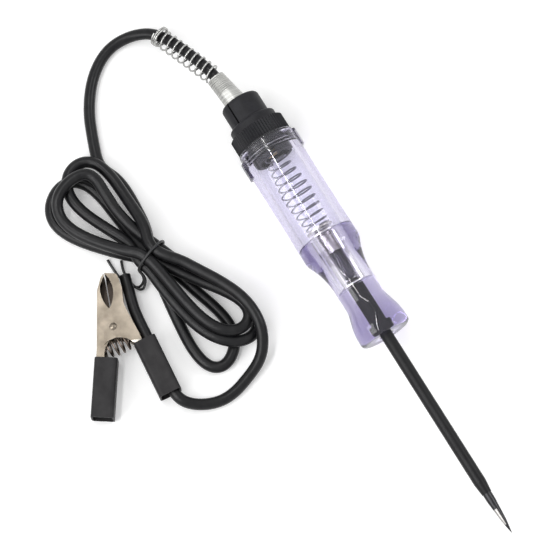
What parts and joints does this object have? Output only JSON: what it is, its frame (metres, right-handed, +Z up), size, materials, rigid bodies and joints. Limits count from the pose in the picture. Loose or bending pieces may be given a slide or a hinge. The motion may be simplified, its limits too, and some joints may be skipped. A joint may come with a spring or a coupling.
{
  "type": "circuit test light",
  "caption": "Automotive circuit test light: clear screwdriver-style handle with a needle probe, lamp and spring inside, a strain-relieved lead tied in a hank, and a spring clip.",
  "frame": {"origin": "on the surface that the tool lies on, under the middle of the hand tool (handle, needle, cap and ferrule, without the lead and clip)", "axes": "+X along the handle towards the needle tip, +Z up from the surface, +Y across, away from the tied lead"},
  "size_m": [0.2138, 0.1072, 0.0204],
  "materials": {
    "clear_plastic": "clear moulded plastic, faint lavender tint",
    "black_steel": "satin black sleeve",
    "bright_steel": "ground steel point",
    "black_plastic": "moulded black plastic",
    "nickel": "nickel plated",
    "brass": "bare stamped brass",
    "lamp_glass": "clear blown glass",
    "lamp_enamel": "black glass insulator",
    "tungsten": "grey wire",
    "spring_steel": "grey spring wire",
    "dark_spring": "dark spring wire",
    "rubber_seal": "flat seal",
    "solder": "soft solder",
    "copper": "stranded copper wire",
    "cable_jacket": "black flexible PVC, slight sheen",
    "tie_plastic": "black plastic over wire",
    "clip_nickel": "warm nickel-plated sheet",
    "grip_pvc": "soft charcoal PVC"
  },
  "bodies": {
    "lead": {"lamp_spring": "spring_steel", "cap": "black_plastic", "cap_gasket": "rubber_seal", "cable_terminal": "brass", "wire_strands": "copper", "terminal_solder": "solder", "ferrule": "nickel", "strain_spring": "dark_spring", "cable_lead": "cable_jacket", "cable_hank": "cable_jacket", "cable_tail": "cable_jacket", "twist_tie": "tie_plastic", "clip_half_cable": "clip_nickel", "clip_pin": "clip_nickel", "clip_spring": "dark_spring", "clip_strands": "copper", "clip_solder": "solder", "grip_cable": "grip_pvc"},
    "lamp_unit": {"lamp_base": "brass", "lamp_glass": "lamp_glass", "lamp_insulator": "lamp_enamel", "lamp_contact": "solder", "lamp_supports": "tungsten", "lamp_filament": "tungsten", "spring_seat": "nickel"},
    "handle": {"barrel": "clear_plastic", "needle_bushing": "black_plastic", "probe_sleeve": "black_steel", "probe_needle": "bright_steel", "lamp_cage": "nickel"},
    "clip_lever": {"clip_half_lever": "clip_nickel", "grip_lever": "grip_pvc"}
  },
  "joints": [
    {"name": "lamp_slide", "type": "slide", "parent": "lead", "child": "lamp_unit", "axis": [1, 0, 0], "range_m": [0, 0.00375], "deforming": ["lamp_spring"]},
    {"name": "handle_turn", "type": "hinge", "parent": "lamp_unit", "child": "handle", "pos_m": [-0.06197, 0, 0.0102], "axis": [1, 0, 0], "range_deg": [0, 1080]},
    {"name": "clip_open", "type": "hinge", "parent": "lead", "child": "clip_lever", "pos_m": [-0.035, -0.0749, 0.0041], "axis": [0, 0, 1], "range_deg": [0, 25], "stiffness_Nm_per_rad": 0.05, "springref_deg": -20.05, "deforming": ["clip_spring"]}
  ],
  "couplings": [
    {"joint": "handle_turn", "follows": "lamp_slide", "rad_per_m": 5026.5}
  ]
}
